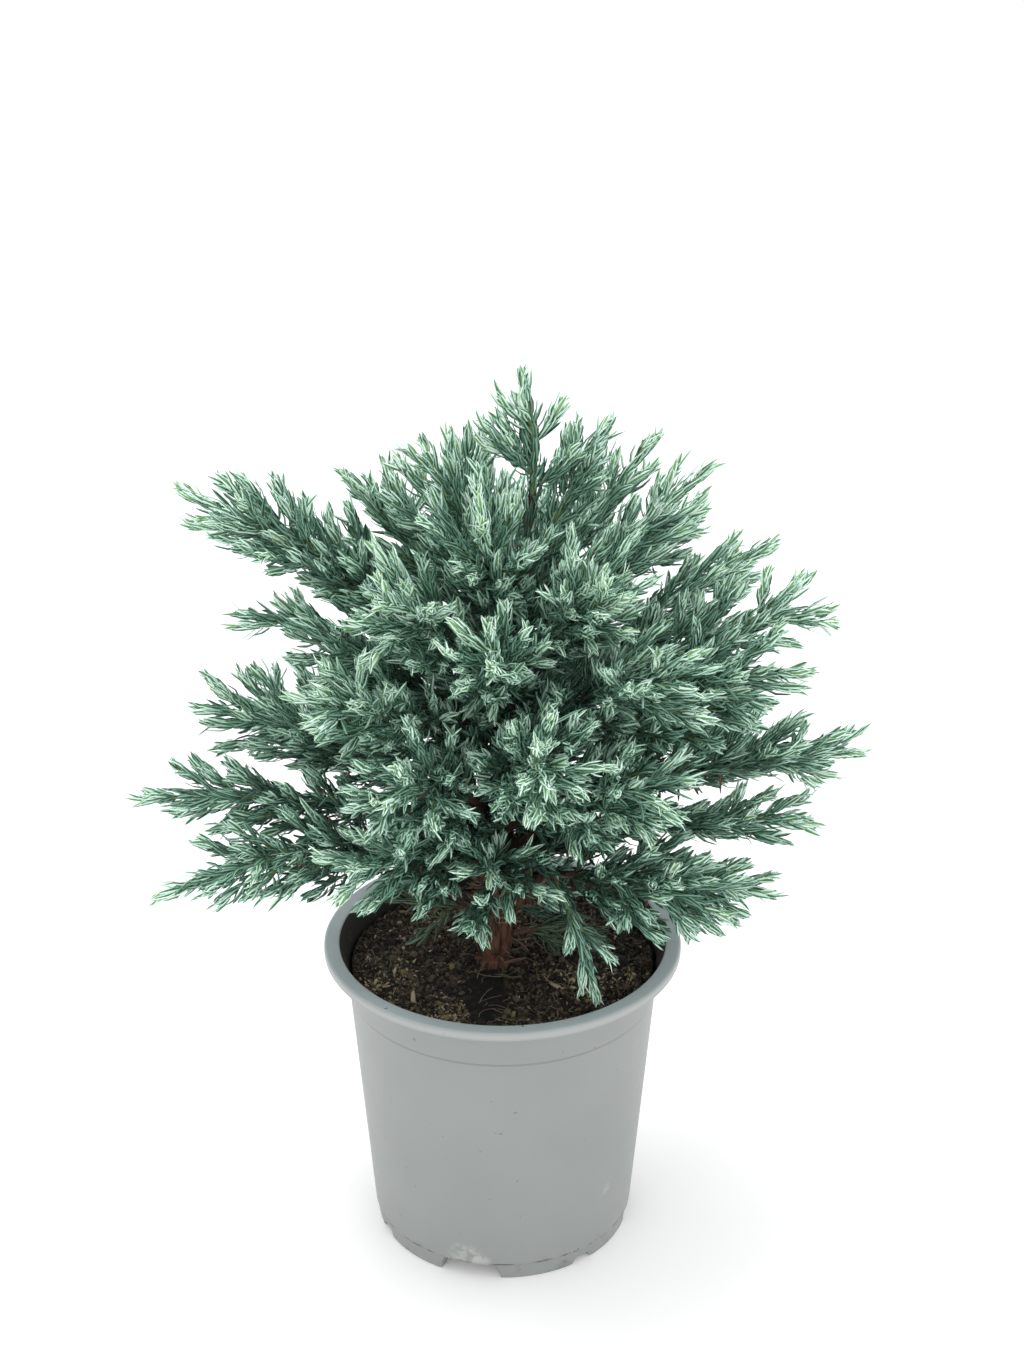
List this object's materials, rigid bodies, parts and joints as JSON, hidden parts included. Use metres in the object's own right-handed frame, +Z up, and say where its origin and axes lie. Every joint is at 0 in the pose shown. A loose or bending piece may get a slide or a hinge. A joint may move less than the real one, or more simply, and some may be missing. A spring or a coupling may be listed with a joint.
{
  "type": "potted false cypress",
  "caption": "Small bushy conifer with soft silver-blue needles, growing in a light grey plastic nursery pot with a flat rim and notched foot.",
  "frame": {"origin": "middle of the pot's underside, on the surface that it stands on, and the middle of the whole plant's box", "axes": "+Z up along the pot's axis, -Y towards the side that the picture shows, +X to the right in the picture"},
  "size_m": [0.255, 0.23, 0.3312],
  "materials": {
    "pot": "light grey moulded plastic, satin, with small scuffs and specks of soil",
    "soil": "moist dark brown peat with lighter crumbs and fibres",
    "bark": "thin red-brown flaking bark",
    "foliage": "silver-blue awl-shaped needles with pale bands and green keels",
    "young_growth": "fresh yellow-green shoot tips and stems"
  },
  "bodies": {
    "root": {"pot": "pot", "soil": "soil", "trunk": "bark", "bough_upper_left": "bark", "bough_mid_right_front": "bark", "bough_mid_front_right": "bark", "bough_mid_back": "bark", "bough_low_front": "bark", "bough_low_front_left": "bark", "bough_low_front_right": "bark", "bough_low_left_up": "bark", "bough_low_left": "bark", "bough_low_left_front": "bark", "bough_low_right_rim": "bark", "bough_low_right": "bark", "bough_low_right_up": "bark", "bough_low_right_back": "bark", "bough_low_back": "bark", "bough_low_left_back": "bark", "foliage_leader": "foliage", "foliage_top_left": "foliage", "foliage_top_right": "foliage", "foliage_top_right_back": "foliage", "foliage_top_front": "foliage", "foliage_top_back": "foliage", "foliage_upper_left": "foliage", "foliage_upper_left_back": "foliage", "foliage_upper_right": "foliage", "foliage_upper_right_back": "foliage", "foliage_upper_left_front": "foliage", "foliage_upper_right_front": "foliage", "foliage_upper_back": "foliage", "foliage_mid_left": "foliage", "foliage_mid_right": "foliage", "foliage_mid_right_back": "foliage", "foliage_mid_right_front": "foliage", "foliage_mid_front": "foliage", "foliage_mid_left_front": "foliage", "foliage_mid_front_right": "foliage", "foliage_mid_back": "foliage", "foliage_mid_left_back": "foliage", "foliage_low_front": "foliage", "foliage_low_front_left": "foliage", "foliage_low_front_right": "foliage", "foliage_low_left_up": "foliage", "foliage_low_left": "foliage", "foliage_low_left_front": "foliage", "foliage_low_left_rim": "foliage", "foliage_low_near": "foliage", "foliage_low_hanging": "foliage", "foliage_low_right_rim": "foliage", "foliage_low_right": "foliage", "foliage_low_right_mid": "foliage", "foliage_low_right_up": "foliage", "foliage_low_right_back": "foliage", "foliage_low_back": "foliage", "foliage_low_left_back": "foliage", "foliage_shaded_left": "foliage", "foliage_shaded_right": "foliage"}
  },
  "joints": []
}
